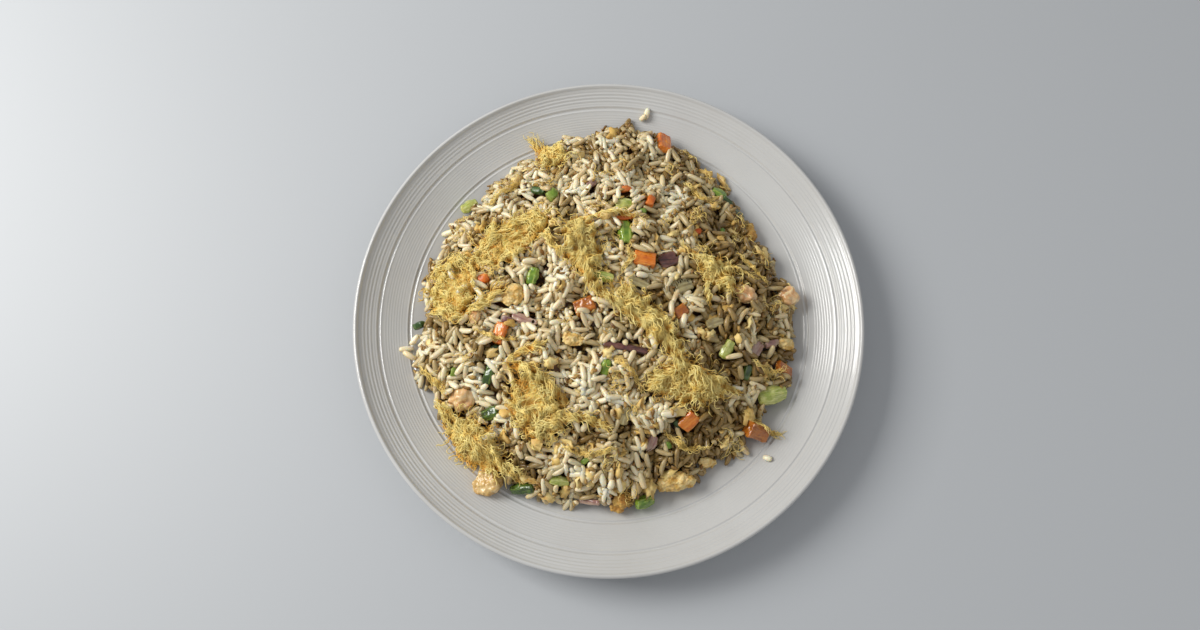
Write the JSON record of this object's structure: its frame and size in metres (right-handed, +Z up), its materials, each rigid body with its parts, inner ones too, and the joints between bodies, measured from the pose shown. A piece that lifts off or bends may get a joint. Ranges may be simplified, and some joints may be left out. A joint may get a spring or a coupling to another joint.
{
  "type": "fried rice plate",
  "caption": "Round ribbed dinner plate heaped with fried rice, with carrot, green vegetables, onion, shrimp, egg and golden floss on top.",
  "frame": {"origin": "on the table, under the middle of the plate", "axes": "+Z up from the table through the heap; +Y away from the diner, +X to the right"},
  "size_m": [0.27, 0.27, 0.0486],
  "materials": {
    "plate": "white glazed stoneware with turned ribs, glossy",
    "rice": "cooked grains, satin",
    "carrot": "cooked carrot dice, moist",
    "green": "cooked green vegetable pieces, moist",
    "onion": "cooked onion layers, translucent look",
    "shrimp": "cooked shrimp and chicken pieces, moist",
    "egg": "scrambled egg lumps, satin",
    "floss": "golden floss of fine threads, matt"
  },
  "bodies": {
    "root": {"carrot_1": "carrot", "carrot_2": "carrot", "carrot_3": "carrot", "carrot_4": "carrot", "carrot_5": "carrot", "carrot_6": "carrot", "carrot_7": "carrot", "carrot_8": "carrot", "egg_1": "egg", "egg_2": "egg", "egg_3": "egg", "egg_4": "egg", "egg_5": "egg", "egg_6": "egg", "egg_7": "egg", "egg_8": "egg", "floss_1": "floss", "floss_2": "floss", "floss_3": "floss", "floss_4": "floss", "floss_5": "floss", "floss_6": "floss", "floss_7": "floss", "floss_8": "floss", "floss_9": "floss", "green_1": "green", "green_10": "green", "green_11": "green", "green_12": "green", "green_13": "green", "green_14": "green", "green_15": "green", "green_16": "green", "green_17": "green", "green_2": "green", "green_3": "green", "green_4": "green", "green_5": "green", "green_6": "green", "green_7": "green", "green_8": "green", "green_9": "green", "onion_1": "onion", "onion_10": "onion", "onion_11": "onion", "onion_2": "onion", "onion_3": "onion", "onion_4": "onion", "onion_5": "onion", "onion_6": "onion", "onion_7": "onion", "onion_8": "onion", "onion_9": "onion", "plate": "plate", "rice_heap": "rice", "shrimp_1": "shrimp", "shrimp_2": "shrimp", "shrimp_3": "shrimp", "shrimp_4": "shrimp", "shrimp_5": "shrimp"}
  },
  "joints": []
}
